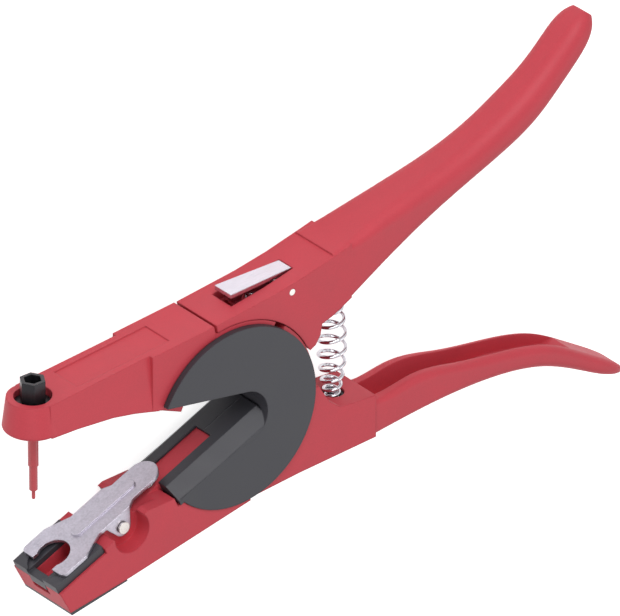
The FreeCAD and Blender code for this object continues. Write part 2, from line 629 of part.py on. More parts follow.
def make_pin_lever():
    """Casting with the pin arm, the near half of the hub ring and the lower handle."""
    body = new_body("pin_lever")

    # near half of the hub ring
    low = MID + dim.face_gap / 2
    top = dim.guard_width - LEVER_LOW - dim.face_gap
    gap = hub_ring(body, "NearRing", low, top - low, dim.arm_front_angle, 360 - dim.tail_root_angle)
    pocket(body, gap, dim.guard_width, reverse=True)

    # notch in the ring's rim that the catch leg drops into when the tool is closed
    notch_angle = 78.3 - dim.closing_angle
    notch = sketch_on(body, "CatchNotch", base=(0, 0, low), turn=notch_angle)
    draw_outline(notch, box_outline((dim.ring_radius - 2.4, -2.4), (dim.ring_radius + 2, 2.4)))
    pocket(body, notch, dim.guard_width, reverse=True)

    # lower handle beside the hub
    tail_angle = -dim.tail_root_angle
    tail = sketch_on(body, "TailRoot", base=(0, 0, MID))
    draw_outline(tail, [
        polar(dim.ring_radius - 2, tail_angle), polar(dim.ring_radius - 2, tail_angle / 2),
        polar(dim.ring_radius - 2, -3), polar(dim.ring_radius + 2, -3), (41, -9.6),
        (46, -13.4), (61, -14.1), (61, -30.2), (38, -31.6), (28, -32.2),
        polar(dim.jaw_heel_depth / sine(dim.tail_root_angle) + 1.0, tail_angle),
    ])
    pad(body, tail, dim.lever_width, symmetric=True)

    # far half of the hub is left to the other casting
    far = sketch_on(body, "HubClear")
    draw_circle(far, (0, 0), CLEAR_RING)
    pocket(body, far, low, reverse=True)

    # pin arm
    rear_angle = dim.arm_root_angle
    arm_rear_top = polar(ROOT_TOP / sine(rear_angle), rear_angle)
    arm = sketch_on(body, "Arm", base=(0, 0, MID))
    draw_outline(arm, [
        (-dim.pin_reach, dim.arm_tip_bottom), (-66, dim.arm_tip_bottom - 0.2),
        (-dim.arm_bend_x, dim.arm_bend_y), (-42, 15.8), (-dim.arm_throat_x, dim.arm_throat_y),
        polar(dim.ring_radius, dim.arm_front_angle), (0, 0), arm_rear_top,
        (-dim.pin_reach, dim.arm_tip_top),
    ])
    pad(body, arm, dim.lever_width, symmetric=True)

    # drafted sides of the arm
    half = dim.lever_width / 2
    lean = (ROOT_TOP + 3 - dim.arm_throat_y) * tangent(dim.arm_draft)
    for name, side in (("DraftNear", 1), ("DraftFar", -1)):
        wedge = sketch_on(body, name, "YZ_Plane", base=(0, MID, -BEYOND * 2))
        edge = half * side
        draw_outline(wedge, [
            (dim.arm_throat_y, edge), (ROOT_TOP + 3, edge - lean * side),
            (ROOT_TOP + 3, edge + side), (dim.arm_throat_y, edge + side),
        ])
        pocket(body, wedge, BEYOND * 2 - dim.ring_radius, reverse=True)

    # round end that holds the pin
    boss = sketch_on(body, "Boss", base=(-dim.pin_reach, 0, MID))
    draw_outline(boss, [
        (0, dim.arm_tip_bottom), (dim.boss_bottom_radius - 1.2, dim.arm_tip_bottom, 1.2),
        (dim.boss_bottom_radius, dim.arm_tip_bottom + 1.2),
        (dim.boss_top_radius, dim.arm_tip_top), (0, dim.arm_tip_top),
    ])
    turned(body, boss)
    seat = sketch_on(body, "PinSeat", base=(-dim.pin_reach, 0, MID))
    nut_seat = dim.arm_tip_top - dim.counterbore_depth
    head_top = nut_seat - dim.nut_shank_length
    collar = dim.pin_collar_radius + dim.pin_hole_gap
    draw_outline(seat, [
        (0, 0), (collar, 0), (collar, head_top - dim.pin_head_height),
        (dim.nut_shank_radius, head_top - dim.pin_head_height), (dim.nut_shank_radius, nut_seat),
        (dim.counterbore_radius, nut_seat), (dim.counterbore_radius, 40), (0, 40),
    ])
    turned_cut(body, seat)

    # bare label panel
    slope = (ROOT_TOP - dim.arm_tip_top) / (dim.pin_reach - 8.4)
    front_y = dim.arm_tip_top + slope * (dim.pin_reach - dim.label_front) - dim.label_depth
    rear_y = dim.arm_tip_top + slope * (dim.pin_reach - dim.label_rear) - dim.label_depth
    label = sketch_on(body, "Label", base=(0, 0, MID))
    draw_outline(label, [
        (-dim.label_front, front_y), (-dim.label_rear, rear_y),
        (-dim.label_rear, rear_y + 3), (-dim.label_front, front_y + 3),
    ])
    pocket(body, label, 2 * dim.label_half, symmetric=True)

    # bore of the hub and running faces under the guard plates
    hub_cut(body, "JournalBore", CLEAR_JOURNAL, 0, dim.guard_width)
    rim = dim.guard_radius + dim.ring_gap
    hub_cut(body, "FaceFar", rim, 0, dim.guard_plate + dim.face_gap)
    hub_cut(body, "FaceNear", rim, NEAR_FACE - dim.face_gap, dim.guard_plate + 1)

    # lower handle grip with an open channel on its inner side
    grip(body, "Grip", [
        (58.0, -22.2, 0, 16.2, dim.lever_width - 1.2, 1.4),
        (78.0, -22.7, -3, 13.4, 17.6, 2.2),
        (100.0, -23.4, -4, 10.4, 16.0, 2.6),
        (121.5, -25.5, -9, 8.2, 15.4, 2.8),
        (139.0, -29.4, -20, 7.8, 15.0, 2.8),
        (156.4, -38.2, -30, 6.2, 14.6, 2.6),
        (168.0, -44.8, -30, 4.8, 12.8, 2.0),
        (173.2, -47.8, -30, 2.6, 8.6, 1.2),
    ])
    trough = sketch_on(body, "Channel", base=(0, 0, MID))
    draw_outline(trough, [
        (62, -5), (62, -16.5), (68, -24.4), (78, -25.6), (100, -25.7), (121, -26.6),
        (136, -29.2), (146, -31.4), (151, -30.5), (146, -20), (100, -5),
    ])
    pocket(body, trough, 15.4 - 2 * dim.grip_wall, symmetric=True)

    # seat for the spring cup
    cup = sketch_on(body, "CupSeat", base=(dim.spring_x, 0, MID))
    cup_floor = dim.spring_bottom - dim.cup_wall
    draw_outline(cup, box_outline(
        (0, cup_floor - dim.fit_gap / 3), (dim.cup_radius + dim.fit_gap / 3, 0)
    ))
    turned_cut(body, cup)
    return body


def make_guard_half(near):
    """One nylon half of the throat guard: plate, half of the journal and half of the floor."""
    body = new_body("guard_near_half" if near else "guard_far_half")
    side = 1 if near else -1
    half = MID - 0.02

    plate = sketch_on(body, "Plate", base=(0, 0, NEAR_FACE if near else 0))
    draw_circle(plate, (0, 0), dim.guard_radius)
    pad(body, plate, dim.guard_plate)
    hub = sketch_on(body, "Journal", base=(0, 0, dim.guard_width - half if near else 0))
    draw_circle(hub, (0, 0), dim.journal_radius)
    pad(body, hub, half)

    # throat: straight sides that run out of a round end
    radius = dim.throat_radius
    centre = (dim.throat_centre_x, dim.throat_centre_y)
    throat = sketch_on(body, "Throat", base=(0, 0, MID))
    upper_turn = 81
    lower_turn = -98
    upper = (centre[0] + radius * cosine(upper_turn), centre[1] + radius * sine(upper_turn))
    lower = (centre[0] + radius * cosine(lower_turn), centre[1] + radius * sine(lower_turn))
    front_low = to_row(-dim.guard_radius * 1.4, -dim.floor_edge_drop + 0.6)
    draw_outline(throat, [
        upper, (dim.throat_top_x * 1.4, dim.throat_top_y + 0.4 * 5.0), front_low,
        (*lower, radius), (centre[0] + radius, centre[1], radius),
    ])
    pocket(body, throat, dim.guard_width * 1.2, symmetric=True)

    # floor: flat in the middle, sloped towards the plate
    floor = sketch_on(
        body, "Floor", "YZ_Plane", base=(0, MID, 0), turn=dim.closing_angle, axis=(0, 1, 0)
    )
    wide = half * side
    draw_outline(floor, [
        (-dim.floor_drop, 0.02 * side), (-dim.floor_drop, dim.floor_half * side),
        (-dim.floor_edge_drop, wide), (-dim.floor_base_drop, wide),
        (-dim.floor_base_drop, 0.02 * side),
    ])
    pad(body, floor, dim.guard_radius - 0.8, reverse=True)
    back = sketch_on(
        body, "FloorBack", "YZ_Plane", base=(0, MID, 0), turn=dim.closing_angle, axis=(0, 1, 0)
    )
    draw_outline(back, [
        (-dim.floor_drop, 0.02 * side), (-dim.floor_drop, dim.floor_half * side),
        (-dim.floor_edge_drop, wide), (-dim.floor_base_drop, wide),
        (-dim.floor_base_drop, 0.02 * side),
    ])
    pad(body, back, dim.throat_radius)

    # slot over the casting strip
    slot = sketch_on(body, "StripSlot", base=(0, 0, MID), turn=dim.closing_angle)
    draw_outline(slot, box_outline(
        (-dim.guard_radius - 2, -dim.floor_base_drop - 1), (-dim.strip_rear + dim.fit_gap, 0)
    ))
    pocket(body, slot, dim.strip_width, symmetric=True)

    # screw holes through the journal, countersunk in the far plate
    for number in (-1, 0, 1):
        angle = dim.guard_screw_angle * number
        hole = sketch_on(body, f"ScrewHole{number + 1}")
        spot = polar(dim.guard_screw_circle, angle)
        draw_circle(hole, spot, dim.guard_screw_radius + dim.pin_hole_gap)
        pocket(body, hole, dim.guard_screw_length + 0.3, reverse=True)
        if not near:
            sink = sketch_on(
                body, f"Sink{number + 1}", "XZ_Plane", base=(spot[0], 0, -spot[1])
            )
            wide = dim.guard_screw_head + 2 * dim.fit_gap
            draw_outline(sink, [(0, 0), (wide, 0), (0, wide)])
            turned_cut(body, sink)
    return body


def jaw_slope():
    """Fall of the jaw's underside per millimetre towards the hub."""
    return (dim.jaw_mid_depth - dim.jaw_front_depth) / (dim.jaw_length - dim.jaw_mid_length)


def make_tag_nest():
    """Black moulded nest on the front of the jaw: two pads joined by a bar in front."""
    body = new_body("tag_nest", in_jaw_frame=True)
    seat = -dim.jaw_top_drop
    pads = sketch_on(body, "Pads", base=(0, 0, MID))
    draw_outline(pads, box_outline(
        (-dim.jaw_length, seat), (-dim.nest_rear, seat + dim.nest_height)
    ))
    pad(body, pads, dim.nest_width, symmetric=True)
    bar = sketch_on(body, "Bar", base=(0, 0, MID))
    draw_outline(bar, box_outline(
        (-dim.jaw_length, seat - 2.6), (-dim.jaw_length + dim.nest_bridge, seat + 1.2)
    ))
    pad(body, bar, dim.channel_width - 2 * dim.fit_gap, symmetric=True)
    middle = sketch_on(body, "Middle", base=(0, 0, MID))
    draw_outline(middle, box_outline(
        (-dim.jaw_length + dim.nest_bridge, seat - 3), (-dim.nest_rear + 1, 0)
    ))
    pocket(body, middle, dim.channel_width, symmetric=True)
    front = sketch_on(body, "MiddleFront", base=(0, 0, MID))
    draw_outline(front, box_outline(
        (-dim.jaw_length - 1, seat + 1.2), (-dim.jaw_length + dim.nest_bridge, 0)
    ))
    pocket(body, front, dim.channel_width, symmetric=True)
    cup = sketch_on(body, "ButtonSeat", "XZ_Plane", base=(-dim.pin_reach, MID, -seat - 2.2))
    draw_circle(cup, (0, 0), 9.0)
    pocket(body, cup, 5)
    for name, side in (("ScrewFar", -1), ("ScrewNear", 1)):
        hole = sketch_on(
            body, name, "XZ_Plane",
            base=(-dim.nest_screw_x, MID + dim.nest_screw_z * side, -seat),
        )
        draw_circle(hole, (0, 0), dim.nest_screw_radius + dim.pin_hole_gap)
        pocket(body, hole, 1.8)
    return body


def make_jaw_sole():
    """Thin black plate under the front of the jaw."""
    body = new_body("jaw_sole", in_jaw_frame=True)
    rear = dim.jaw_front_depth + jaw_slope() * (dim.jaw_length - dim.sole_rear)
    side = sketch_on(body, "Side", base=(0, 0, MID))
    draw_outline(side, [
        (-dim.jaw_length + 0.5, -dim.jaw_front_depth), (-dim.sole_rear, -rear),
        (-dim.sole_rear, -rear - dim.sole_thickness / 2),
        (-dim.jaw_length + 0.5, -dim.jaw_front_depth - dim.sole_thickness),
    ])
    pad(body, side, dim.jaw_width, symmetric=True)
    for name, away in (("ScrewFar", -1), ("ScrewNear", 1)):
        hole = sketch_on(
            body, name, "XZ_Plane", base=(-dim.nest_screw_x, MID + dim.nest_screw_z * away, 0)
        )
        draw_circle(hole, (0, 0), dim.nest_screw_head + dim.fit_gap)
        pocket(body, hole, BEYOND, reverse=True)
    return body


def make_nest_screws():
    """Two screws from under the jaw into the nest."""
    body = new_body("nest_screws", in_jaw_frame=True)
    body.AllowCompound = True
    for name, side in (("Far", -1), ("Near", 1)):
        screw = sketch_on(
            body, name, base=(-dim.nest_screw_x, 0, MID + dim.nest_screw_z * side)
        )
        seat = -dim.nest_screw_seat
        head = seat - dim.nest_screw_head_height
        tip = -dim.jaw_top_drop + 1.6
        draw_outline(screw, [
            (0, head), (dim.nest_screw_head, head), (dim.nest_screw_head, seat),
            (dim.nest_screw_radius, seat), (dim.nest_screw_radius, tip), (0, tip),
        ])
        turned(body, screw)
    return body


def make_tag_clip():
    """Stamped clip with two fingers round a notch, an embossed rib and two ears."""
    body = new_body("tag_clip", in_jaw_frame=True)
    top = dim.jaw_top_drop - dim.nest_height - 0.1 - dim.clip_sheet
    blank = sketch_on(body, "Blank", "XZ_Plane", base=(0, MID, top))
    tail = -dim.clip_rear - dim.clip_tail_half
    draw_outline(blank, [
        (-dim.clip_front, -dim.clip_front_half + 2, 2), (-dim.clip_front + 2, -dim.clip_front_half),
        (-dim.clip_shoulder, -dim.clip_front_half), (-dim.clip_waist, -dim.clip_body_half),
        (-dim.clip_ear_rear, -dim.clip_body_half), (-dim.clip_ear_rear + 3, -dim.clip_tail_half),
        (tail, -dim.clip_tail_half, dim.clip_tail_half), (tail + dim.clip_tail_half, 0, dim.clip_tail_half),
        (tail, dim.clip_tail_half), (-dim.clip_ear_rear + 3, dim.clip_tail_half),
        (-dim.clip_ear_rear, dim.clip_body_half), (-dim.clip_waist, dim.clip_body_half),
        (-dim.clip_shoulder, dim.clip_front_half), (-dim.clip_front + 2, dim.clip_front_half, 2),
        (-dim.clip_front, dim.clip_front_half - 2),
    ])
    pad(body, blank, dim.clip_sheet)
    notch = sketch_on(body, "Notch", "XZ_Plane", base=(-dim.pin_reach + 0.8, MID, top - 1))
    draw_circle(notch, (0, 0), dim.notch_radius)
    pocket(body, notch, dim.clip_sheet + 2, reverse=True)
    mouth = sketch_on(body, "Mouth", "XZ_Plane", base=(-dim.pin_reach + 0.8, MID, top - 1))
    draw_outline(mouth, box_outline((-20, -dim.notch_mouth_half), (-2, dim.notch_mouth_half)))
    pocket(body, mouth, dim.clip_sheet + 2, reverse=True)
    rib = sketch_on(body, "Rib", "XZ_Plane", base=(0, MID, top))
    draw_outline(rib, [
        (-dim.rib_front + dim.rib_half, -dim.rib_half), (-dim.rib_rear - dim.rib_half, -dim.rib_half, dim.rib_half),
        (-dim.rib_rear, 0, dim.rib_half), (-dim.rib_rear - dim.rib_half, dim.rib_half),
        (-dim.rib_front + dim.rib_half, dim.rib_half, dim.rib_half), (-dim.rib_front, 0, dim.rib_half),
    ])
    pad(body, rib, dim.rib_height, reverse=True)
    inner = dim.lug_half + dim.face_gap
    for name, low in (("EarFar", MID - inner - dim.clip_ear_sheet), ("EarNear", MID + inner)):
        ear = sketch_on(body, name, base=(-dim.clip_pin_x, -dim.clip_pin_drop, low))
        rise = dim.clip_pin_drop - top - dim.clip_sheet / 2
        draw_outline(ear, [
            (dim.clip_pin_x - dim.clip_ear_front, rise),
            (*polar(dim.clip_ear_round, 200), dim.clip_ear_round),
            polar(dim.clip_ear_round, 340), (dim.clip_pin_x - dim.clip_ear_rear, rise),
        ])
        pad(body, ear, dim.clip_ear_sheet)
    bore = sketch_on(body, "Bore", base=(-dim.clip_pin_x, -dim.clip_pin_drop, MID))
    draw_circle(bore, (0, 0), dim.clip_pin_radius + dim.pin_hole_gap)
    pocket(body, bore, dim.guard_width, symmetric=True)
    return body


def make_clip_pin():
    """Riveted hinge pin of the clip, held in the jaw's lug."""
    body = new_body("clip_pin", in_jaw_frame=True)
    reach = dim.lug_half + 2 * dim.face_gap + dim.clip_ear_sheet
    place = (-dim.clip_pin_x, -dim.clip_pin_drop)
    shank = sketch_on(body, "Shank", base=(*place, MID))
    draw_circle(shank, (0, 0), dim.clip_pin_radius)
    pad(body, shank, reach * 2, symmetric=True)
    for name, low in (("HeadFar", MID - reach - dim.clip_pin_head_height), ("HeadNear", MID + reach)):
        head = sketch_on(body, name, base=(*place, low))
        draw_circle(head, (0, 0), dim.clip_pin_head)
        pad(body, head, dim.clip_pin_head_height)
    return body


def turned_part(label, in_jaw_frame, base, corners):
    """Sub-part that is one full turn of a half profile about a line along y."""
    body = new_body(label, in_jaw_frame)
    profile = sketch_on(body, "Profile", base=base)
    draw_outline(profile, corners)
    turned(body, profile)
    return body


def make_clip_spring():
    """Small coil spring between the casting strip and the rear of the clip."""
    outer = dim.clip_spring_radius
    inner = outer - dim.clip_spring_wire
    low = -dim.strip_drop - dim.clip_spring_seat
    high = -dim.jaw_top_drop + dim.nest_height
    return turned_part(
        "clip_spring", True, (-dim.clip_spring_x, 0, MID),
        box_outline((inner, low), (outer, high)),
    )


def make_applicator_pin():
    """Stepped pin with its head held in the arm."""
    foot = dim.arm_tip_bottom
    head_top = dim.arm_tip_top - dim.counterbore_depth - dim.nut_shank_length
    tip = foot - dim.pin_length
    return turned_part("applicator_pin", False, (-dim.pin_reach, 0, MID), [
        (0, tip, dim.pin_tip_radius), (dim.pin_tip_radius, tip + dim.pin_tip_radius),
        (dim.pin_tip_radius, foot - dim.pin_stage_two - 0.5),
        (dim.pin_neck_radius, foot - dim.pin_stage_two), (dim.pin_neck_radius, foot - dim.pin_stage_one),
        (dim.pin_radius, foot - dim.pin_stage_one), (dim.pin_radius, foot - dim.pin_collar_height),
        (dim.pin_collar_radius, foot - dim.pin_collar_height),
        (dim.pin_collar_radius, head_top - dim.pin_head_height),
        (dim.pin_head_radius, head_top - dim.pin_head_height), (dim.pin_head_radius, head_top),
        (0, head_top),
    ])


def hexagon(flats):
    """Corners of a hexagon about the sketch origin."""
    return [polar(size(flats) / 2 / cosine(30), 60 * number) for number in range(6)]


def make_pin_nut():
    """Hex socket nut that clamps the pin's head from above."""
    body = new_body("pin_nut")
    seat = dim.arm_tip_top - dim.counterbore_depth
    shank = sketch_on(body, "Shank", "XZ_Plane", base=(-dim.pin_reach, MID, dim.nut_shank_length - seat))
    draw_circle(shank, (0, 0), dim.nut_shank_radius - dim.pin_hole_gap)
    pad(body, shank, dim.nut_shank_length + dim.washer_height + 1, reverse=True)
    head = sketch_on(body, "Head", "XZ_Plane", base=(-dim.pin_reach, MID, -seat - dim.washer_height))
    draw_outline(head, hexagon(dim.nut_flats))
    tall = dim.nut_height + dim.counterbore_depth - dim.washer_height
    pad(body, head, tall, reverse=True)
    socket = sketch_on(
        body, "Socket", "XZ_Plane", base=(-dim.pin_reach, MID, -dim.arm_tip_top - dim.nut_height)
    )
    draw_outline(socket, hexagon(dim.socket_flats))
    pocket(body, socket, dim.socket_depth, reverse=True)
    return body


def make_nut_washer():
    """Flat washer in the recess under the nut."""
    seat = dim.arm_tip_top - dim.counterbore_depth
    return turned_part(
        "nut_washer", False, (-dim.pin_reach, 0, MID),
        box_outline((dim.nut_shank_radius, seat), (dim.washer_radius, seat + dim.washer_height)),
    )


def make_handle_spring():
    """Barrel-shaped opening spring between the handles."""
    middle = (dim.spring_bottom + dim.spring_top) / 2
    wire = dim.spring_wire
    return turned_part("handle_spring", False, (dim.spring_x, 0, MID), [
        (dim.spring_end_radius - wire, dim.spring_bottom), (dim.spring_end_radius, dim.spring_bottom),
        (dim.spring_mid_radius, middle - 6), (dim.spring_mid_radius, middle + 2),
        (dim.spring_end_radius, dim.spring_top), (dim.spring_end_radius - wire, dim.spring_top),
        (dim.spring_mid_radius - wire, middle + 2), (dim.spring_mid_radius - wire, middle - 6),
    ])


def make_spring_cup():
    """Black cup that seats the spring in the lower handle."""
    floor = dim.spring_bottom
    rim = floor + dim.cup_depth
    inner = dim.cup_radius - dim.cup_wall
    return turned_part("spring_cup", False, (dim.spring_x, 0, MID), [
        (0, floor - dim.cup_wall), (dim.cup_radius, floor - dim.cup_wall), (dim.cup_radius, rim),
        (inner, rim), (inner, floor), (0, floor),
    ])


def make_catch_lever():
    """Chromed catch: tapered plate on a web with a hub for its pin and a leg in front."""
    body = new_body("catch_lever")
    front = (dim.catch_front_x, CATCH_FRONT_Y)
    rear = (dim.catch_rear_x, CATCH_REAR_Y)
    plate = sketch_on(body, "Plate", base=(0, 0, MID))
    draw_outline(plate, [
        (front[0], front[1] - dim.catch_sheet), (rear[0], rear[1] - dim.catch_sheet), rear, front,
    ])
    pad(body, plate, 2 * dim.catch_front_half, symmetric=True)
    for name, side in (("TaperNear", 1), ("TaperFar", -1)):
        wedge = sketch_on(body, name, "XZ_Plane", base=(0, MID, -dim.arm_tip_bottom))
        draw_outline(wedge, [
            (front[0], dim.catch_front_half * side), (rear[0] + 1, dim.catch_rear_half * side),
            (rear[0] + 1, (dim.catch_front_half + 1) * side),
            (front[0], (dim.catch_front_half + 1) * side),
        ])
        pocket(body, wedge, BEYOND)
    foot = dim.ring_radius + dim.catch_leg_rise
    web = sketch_on(body, "Web", base=(0, 0, MID))
    draw_outline(web, [
        (9.6, front[1] - 1), (6.4, front[1] - 1), (6.4, foot),
        (9.6, foot), (10.4, foot + 2.8), (20, CATCH_PIN_Y - 0.8), (23, CATCH_PIN_Y - 2.2),
        (27, CATCH_PIN_Y - 2.2), (29, CATCH_PIN_Y + 0.4), (29.6, rear[1] - 1),
    ])
    pad(body, web, 2 * dim.catch_web_half, symmetric=True)
    bore = sketch_on(body, "Bore", base=(0, 0, MID))
    draw_circle(bore, (dim.catch_pin_x, CATCH_PIN_Y), dim.catch_pin_radius + dim.pin_hole_gap)
    pocket(body, bore, dim.guard_width, symmetric=True)
    return body


def make_catch_pin():
    """Plain pin of the catch, pressed through the upper handle."""
    body = new_body("catch_pin")
    shank = sketch_on(body, "Shank", base=(dim.catch_pin_x, CATCH_PIN_Y, MID))
    draw_circle(shank, (0, 0), dim.catch_pin_radius)
    pad(body, shank, dim.lever_width, symmetric=True)
    return body


def make_catch_spring():
    """Small coil spring that lifts the front of the catch."""
    outer = dim.catch_spring_radius
    inner = outer - dim.catch_spring_wire
    return turned_part(
        "catch_spring", False, (dim.catch_spring_x, 0, MID),
        box_outline((inner, SLOT_FLOOR), (outer, SLOT_FLOOR + dim.catch_spring_length)),
    )


def make_guard_screws():
    """Three countersunk screws that clamp the guard halves round the castings."""
    body = new_body("guard_screws")
    body.AllowCompound = True
    for number in (-1, 0, 1):
        angle = dim.guard_screw_angle * number
        spot = polar(dim.guard_screw_circle, angle)
        screw = sketch_on(body, f"Screw{number + 1}", "XZ_Plane", base=(spot[0], 0, -spot[1]))
        radius = dim.guard_screw_radius
        draw_outline(screw, [
            (0, 0.1), (dim.guard_screw_head, 0.1), (radius, 0.1 + dim.guard_screw_head - radius),
            (radius, dim.guard_screw_length - 0.4), (radius - 0.4, dim.guard_screw_length), (0, dim.guard_screw_length),
        ])
        turned(body, screw)
    return body


SUB_PARTS = [
    make_jaw_lever(), make_pin_lever(), make_guard_half(True), make_guard_half(False),
    make_guard_screws(), make_tag_nest(), make_jaw_sole(), make_nest_screws(), make_tag_clip(),
    make_clip_pin(), make_clip_spring(), make_applicator_pin(), make_pin_nut(), make_nut_washer(),
    make_handle_spring(), make_spring_cup(), make_catch_lever(), make_catch_pin(),
    make_catch_spring(),
]

doc.recompute()
for item in doc.Objects:
    if "Invalid" in item.State or "Error" in item.State:
        raise RuntimeError(f"{item.Name} failed: {item.State}")
os.makedirs("parts", exist_ok=True)
for body in SUB_PARTS:
    if body.Shape.isNull() or not body.Shape.isValid():
        raise RuntimeError(f"{body.Label} has no valid shape")
    body.Shape.exportStep(f"parts/{body.Label}.step")
    print(body.Label, len(body.Shape.Solids), round(body.Shape.Volume, 1), body.Shape.BoundBox)
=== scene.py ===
"""Looks of an ear tag applicator: red powder-coated levers, a black nylon guard and bright steel parts.

The castings, the guard and the fasteners keep their solids and get their finishes here.  The coil
springs are wound as wires, because their solids are plain sleeves.
"""

import enum
import logging
import math
from dataclasses import dataclass, field

import bpy
import numpy as np
from mathutils import Matrix, Vector


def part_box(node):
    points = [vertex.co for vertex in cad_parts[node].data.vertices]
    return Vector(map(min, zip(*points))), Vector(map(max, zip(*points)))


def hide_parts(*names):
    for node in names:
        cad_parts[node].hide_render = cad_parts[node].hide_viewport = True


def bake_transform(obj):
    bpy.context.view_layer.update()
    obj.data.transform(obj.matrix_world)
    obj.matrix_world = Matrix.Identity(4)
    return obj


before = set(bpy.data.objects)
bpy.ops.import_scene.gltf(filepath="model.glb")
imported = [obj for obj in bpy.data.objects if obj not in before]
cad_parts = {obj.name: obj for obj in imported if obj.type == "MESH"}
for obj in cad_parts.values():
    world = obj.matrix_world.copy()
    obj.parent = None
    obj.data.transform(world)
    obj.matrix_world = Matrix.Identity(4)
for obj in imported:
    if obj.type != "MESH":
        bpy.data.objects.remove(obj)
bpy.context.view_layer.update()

LOG = logging.getLogger("ear_tag_applicator")
MM = 0.001


# ---------------------------------------------------------------------------------------------
# small helpers
# ---------------------------------------------------------------------------------------------

def linear(hex_code: str) -> tuple[float, float, float, float]:
    """Turn an sRGB hex colour into linear light.

    Args:
        hex_code: colour such as "#C2414D".

    Returns:
        Red, green, blue and an alpha of one.
    """
    shares = [int(hex_code[i:i + 2], 16) / 255 for i in (1, 3, 5)]
    lit = [s / 12.92 if s <= 0.04045 else ((s + 0.055) / 1.055) ** 2.4 for s in shares]
    return lit[0], lit[1], lit[2], 1.0


def node(tree: bpy.types.NodeTree, kind: str, settings: dict | None = None,
         inputs: dict | None = None) -> bpy.types.Node:
    """Add a shader node with its settings, values and links.

    Args:
        tree: node tree of the material or world.
        kind: Blender's node type without its "ShaderNode" prefix.
        settings: properties of the node.
        inputs: socket name or number to a value, or to another node's output socket.

    Returns:
        The new node.
    """
    made = tree.nodes.new(f"ShaderNode{kind}")
    for name, value in (settings or {}).items():
        setattr(made, name, value)
    for key, value in (inputs or {}).items():
        socket = made.inputs[key]
        if isinstance(value, bpy.types.NodeSocket):
            tree.links.new(value, socket)
        else:
            socket.default_value = value
    return made


def unit(vectors: np.ndarray) -> np.ndarray:
    """Scale rows to length one."""
    return vectors / np.linalg.norm(vectors, axis=-1, keepdims=True)


def grid_mesh(name: str, points: np.ndarray, closed_u: bool = False,
              closed_v: bool = True) -> bpy.types.Object:
    """Make a mesh from a grid of points.

    Args:
        name: name of the object.
        points: array of shape (rows, columns, 3) in metres.
        closed_u: join the last row to the first.
        closed_v: join the last column to the first.

    Returns:
        A smooth-shaded object at the origin, with its two open ends capped by fans where rows close.
    """
    rows, columns = points.shape[:2]
    index = np.arange(rows * columns).reshape(rows, columns)
    ring = np.concatenate([index, index[:, :1]], axis=1) if closed_v else index
    band = np.concatenate([ring, ring[:1]], axis=0) if closed_u else ring
    quads = np.stack([band[:-1, :-1], band[1:, :-1], band[1:, 1:], band[:-1, 1:]], axis=-1)
    faces = quads.reshape(-1, 4).tolist()
    vertices = points.reshape(-1, 3)
    if closed_v and not closed_u:
        ends = np.stack([points[0].mean(axis=0), points[-1].mean(axis=0)])
        first, last = len(vertices), len(vertices) + 1
        vertices = np.concatenate([vertices, ends])
        faces += np.stack([np.full(columns, first), ring[0, :-1], ring[0, 1:]], axis=-1).tolist()
        faces += np.stack([np.full(columns, last), ring[-1, 1:], ring[-1, :-1]], axis=-1).tolist()
    mesh = bpy.data.meshes.new(name)
    mesh.from_pydata(vertices.tolist(), [], faces)
    mesh.polygons.foreach_set("use_smooth", [True] * len(mesh.polygons))
    mesh.update()
    made = bpy.data.objects.new(name, mesh)
    bpy.context.scene.collection.objects.link(made)
    return made


# ---------------------------------------------------------------------------------------------
# finishes
# ---------------------------------------------------------------------------------------------

